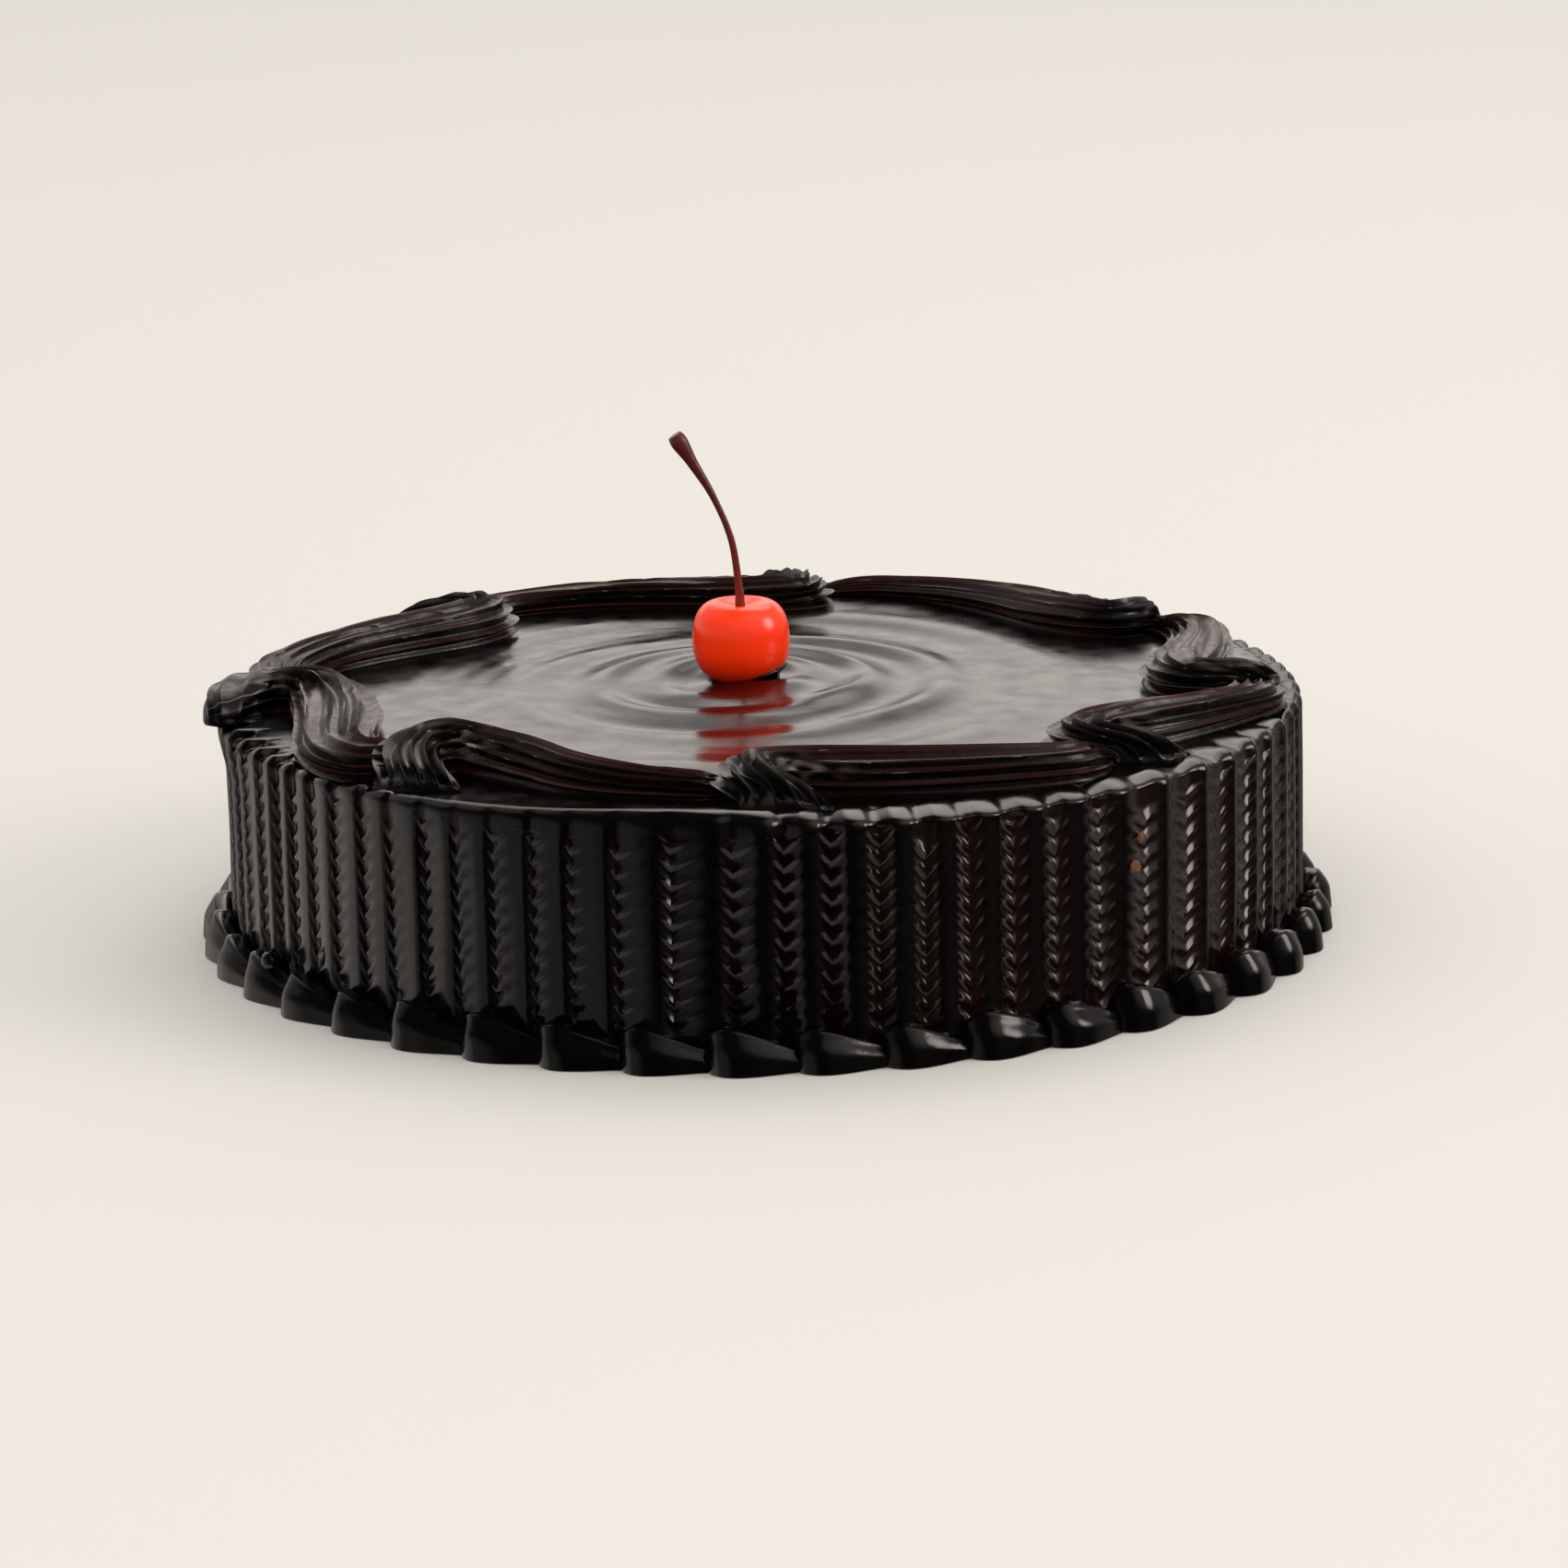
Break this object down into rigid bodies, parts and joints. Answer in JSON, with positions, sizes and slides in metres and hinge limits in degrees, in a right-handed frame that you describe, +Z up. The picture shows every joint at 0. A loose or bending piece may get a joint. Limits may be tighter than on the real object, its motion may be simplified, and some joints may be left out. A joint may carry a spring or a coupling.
{
  "type": "chocolate truffle cake",
  "caption": "Round uncut chocolate truffle cake with a ribbed side, piped scrolls round a rippled glaze pool, a shell border at its foot and a cherry on top.",
  "frame": {"origin": "centre of the cake's flat foot, on the surface it stands on", "axes": "+Z up through the cake's middle; -Y is the side the picture shows; +X to the right in the picture"},
  "size_m": [0.2122, 0.2119, 0.0925],
  "materials": {
    "chocolate_glaze": "glossy poured chocolate glaze",
    "piped_chocolate": "glossy piped chocolate",
    "cherry_skin": "wet cherry skin",
    "cherry_stem": "thin stem, dark red"
  },
  "bodies": {
    "root": {"cake": "chocolate_glaze", "scroll_1": "piped_chocolate", "scroll_2": "piped_chocolate", "scroll_3": "piped_chocolate", "scroll_4": "piped_chocolate", "scroll_5": "piped_chocolate", "scroll_6": "piped_chocolate", "scroll_7": "piped_chocolate", "scroll_8": "piped_chocolate", "shell_01": "piped_chocolate", "shell_02": "piped_chocolate", "shell_03": "piped_chocolate", "shell_04": "piped_chocolate", "shell_05": "piped_chocolate", "shell_06": "piped_chocolate", "shell_07": "piped_chocolate", "shell_08": "piped_chocolate", "shell_09": "piped_chocolate", "shell_10": "piped_chocolate", "shell_11": "piped_chocolate", "shell_12": "piped_chocolate", "shell_13": "piped_chocolate", "shell_14": "piped_chocolate", "shell_15": "piped_chocolate", "shell_16": "piped_chocolate", "shell_17": "piped_chocolate", "shell_18": "piped_chocolate", "shell_19": "piped_chocolate", "shell_20": "piped_chocolate", "shell_21": "piped_chocolate", "shell_22": "piped_chocolate", "shell_23": "piped_chocolate", "shell_24": "piped_chocolate", "shell_25": "piped_chocolate", "shell_26": "piped_chocolate", "shell_27": "piped_chocolate", "shell_28": "piped_chocolate", "shell_29": "piped_chocolate", "shell_30": "piped_chocolate", "shell_31": "piped_chocolate", "shell_32": "piped_chocolate", "shell_33": "piped_chocolate", "shell_34": "piped_chocolate", "shell_35": "piped_chocolate", "shell_36": "piped_chocolate", "shell_37": "piped_chocolate", "shell_38": "piped_chocolate", "shell_39": "piped_chocolate", "shell_40": "piped_chocolate", "shell_41": "piped_chocolate", "shell_42": "piped_chocolate", "cherry": "cherry_skin", "cherry_stem": "cherry_stem"}
  },
  "joints": []
}
